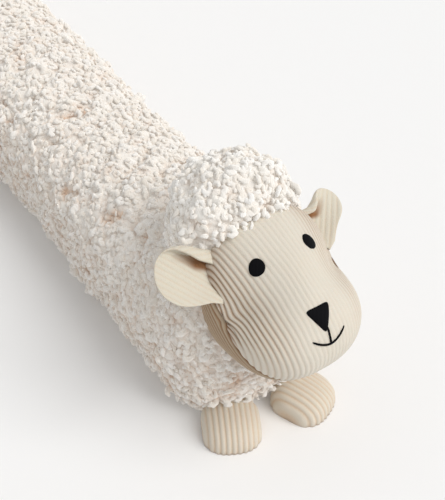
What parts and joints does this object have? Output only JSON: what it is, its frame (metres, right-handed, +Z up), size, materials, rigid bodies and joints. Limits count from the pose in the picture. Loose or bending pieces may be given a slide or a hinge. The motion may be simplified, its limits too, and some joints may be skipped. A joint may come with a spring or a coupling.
{
  "type": "draught excluder",
  "caption": "Long stuffed tube of curly fleece in the form of a lying sheep, with a corduroy face, ears and feet, that stops draughts along the foot of a door.",
  "frame": {"origin": "on the floor under the middle of the whole length", "axes": "+Z up, +Y along the tube from the sheep's face to its rear end, +X to the sheep's left"},
  "size_m": [0.1628, 0.9004, 0.2104],
  "materials": {
    "fleece": "curly cream pile with warm tan roots",
    "head_fleece": "curly off-white pile",
    "corduroy": "matte ribbed cotton cord",
    "embroidery": "black satin stitch with a slight sheen"
  },
  "bodies": {
    "root": {"body": "fleece", "head_cap": "head_fleece", "face_panel": "corduroy", "face_gusset": "corduroy", "ear_right": "corduroy", "ear_left": "corduroy", "foot_right": "corduroy", "foot_left": "corduroy", "eye_right": "embroidery", "eye_left": "embroidery", "nose": "embroidery", "mouth": "embroidery"}
  },
  "joints": []
}
